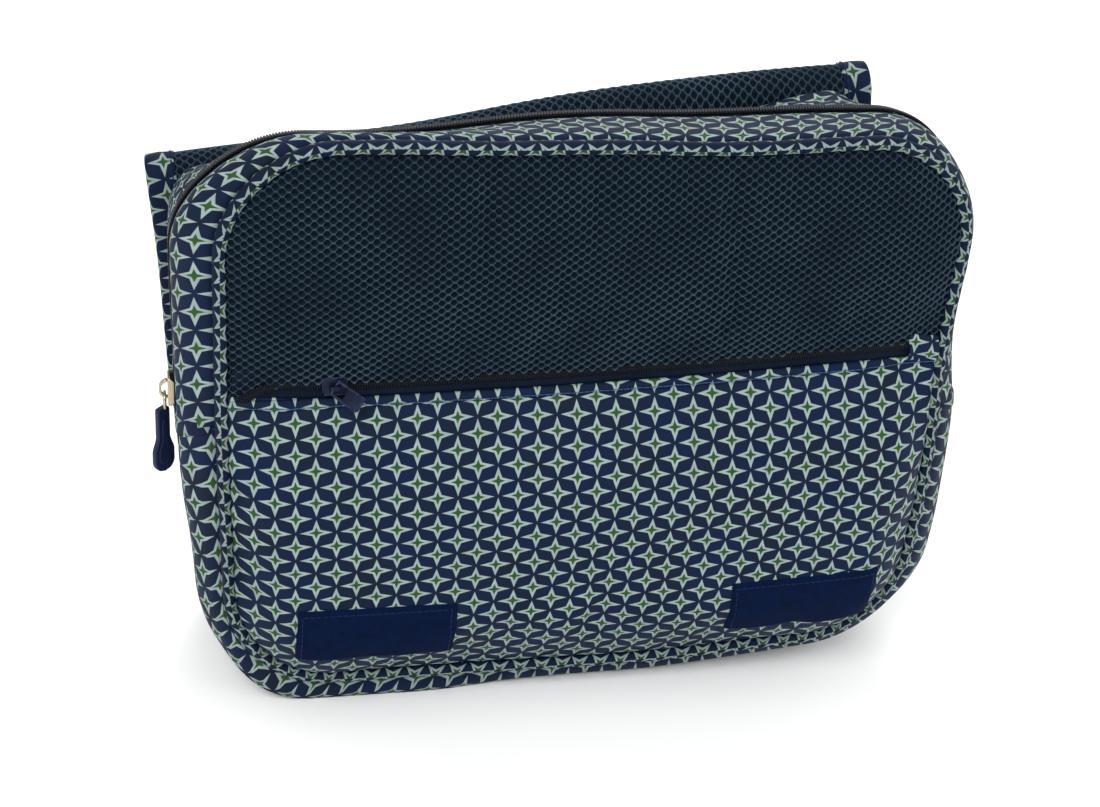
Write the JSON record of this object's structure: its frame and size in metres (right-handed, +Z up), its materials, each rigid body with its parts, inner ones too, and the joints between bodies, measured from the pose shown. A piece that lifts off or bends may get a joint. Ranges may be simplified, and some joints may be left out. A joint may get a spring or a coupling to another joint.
{
  "type": "shoe organizer",
  "caption": "Soft zipped travel pouch for shoes with a mesh window, an outside zip pocket, loop patches and a folded mesh panel on its back.",
  "frame": {"origin": "middle of the flat underside of the lower gusset, where the pouch stands", "axes": "+X to the right seen from the front, +Y from the front face to the back, +Z up"},
  "size_m": [0.3764, 0.1149, 0.2839],
  "materials": {
    "printed_fabric": "woven polyester, star print",
    "printed_piping": "bias-cut print over a cord",
    "printed_binding": "folded print, stitched",
    "air_mesh": "open hexagonal spacer mesh",
    "lining": "plain woven",
    "zip_tape": "woven tape",
    "zip_coil": "nylon coil",
    "loop_pile": "looped pile",
    "hook_tape": "moulded hooks",
    "nickel": "nickel plated, worn",
    "rubber_tab": "moulded, satin",
    "enamelled_slider": "enamel",
    "seam_tape": "plain tape"
  },
  "bodies": {
    "pouch": {"back_panel": "printed_fabric", "fold_binding_left": "printed_binding", "fold_binding_right": "printed_binding", "front_leaf_binding_left": "printed_binding", "front_leaf_binding_right": "printed_binding", "front_leaf_hem": "printed_binding", "front_piping_lower": "printed_piping", "front_pocket_panel": "printed_fabric", "front_seam_binding_lower": "seam_tape", "gusset_join_left": "printed_fabric", "gusset_join_right": "printed_fabric", "gusset_zip_rear_coil": "zip_coil", "gusset_zip_rear_tape": "zip_tape", "gusset_zip_start_left": "zip_coil", "gusset_zip_start_right": "zip_coil", "loop_patch_left": "loop_pile", "loop_patch_right": "loop_pile", "lower_gusset": "printed_fabric", "panel_anchor_tape": "seam_tape", "panel_fold": "air_mesh", "panel_front_leaf": "air_mesh", "pocket_lining": "lining", "pocket_zip_coil": "zip_coil", "pocket_zip_end_tab": "printed_fabric", "pocket_zip_lower_tape": "zip_tape", "pocket_zip_upper_tape": "zip_tape", "rear_gusset_strip": "printed_fabric", "rear_seam_binding": "seam_tape"},
    "flap": {"front_mesh_window": "air_mesh", "front_piping_upper": "printed_piping", "front_gusset_strip": "printed_fabric", "gusset_zip_front_tape": "zip_tape", "gusset_zip_front_coil": "zip_coil", "front_seam_binding_upper": "seam_tape"},
    "main_slider": {"gusset_zip_slider": "nickel"},
    "main_pull": {"gusset_pull_link": "nickel", "gusset_pull_tab": "rubber_tab"},
    "pocket_slider": {"pocket_zip_slider": "enamelled_slider"},
    "pocket_pull": {"pocket_zip_pull": "enamelled_slider"},
    "rear_leaf": {"panel_rear_leaf": "air_mesh", "rear_leaf_binding_left": "printed_binding", "rear_leaf_binding_right": "printed_binding", "rear_leaf_hem": "printed_binding", "hook_patch_left": "hook_tape", "hook_patch_right": "hook_tape"}
  },
  "joints": [
    {"name": "flap_fold", "type": "hinge", "parent": "pouch", "child": "flap", "pos_m": [-0.00046, -0.0425, 0.18149], "axis": [0.9993, 0, 0.0366], "range_deg": [0, 90]},
    {"name": "main_slider_run", "type": "slide", "parent": "pouch", "child": "main_slider", "axis": [0, 0, 1], "range_m": [0, 0.062]},
    {"name": "main_pull_swing", "type": "hinge", "parent": "main_slider", "child": "main_pull", "pos_m": [-0.1871, -0.0025, 0.1551], "axis": [0, 1, 0], "range_deg": [0, 110]},
    {"name": "pocket_slider_run", "type": "slide", "parent": "pouch", "child": "pocket_slider", "axis": [0.9993, 0, 0.0366], "range_m": [0, 0.23]},
    {"name": "pocket_pull_flip", "type": "hinge", "parent": "pocket_slider", "child": "pocket_pull", "pos_m": [-0.11578, -0.0408, 0.17176], "axis": [0.4695, 0, 0.8829], "range_deg": [-60, 0]},
    {"name": "panel_unfold", "type": "hinge", "parent": "pouch", "child": "rear_leaf", "pos_m": [-0.026, 0.0466, 0.2557], "axis": [0.9947, 0, 0.1028], "range_deg": [0, 179], "deforming": ["panel_fold", "fold_binding_left", "fold_binding_right"]}
  ]
}
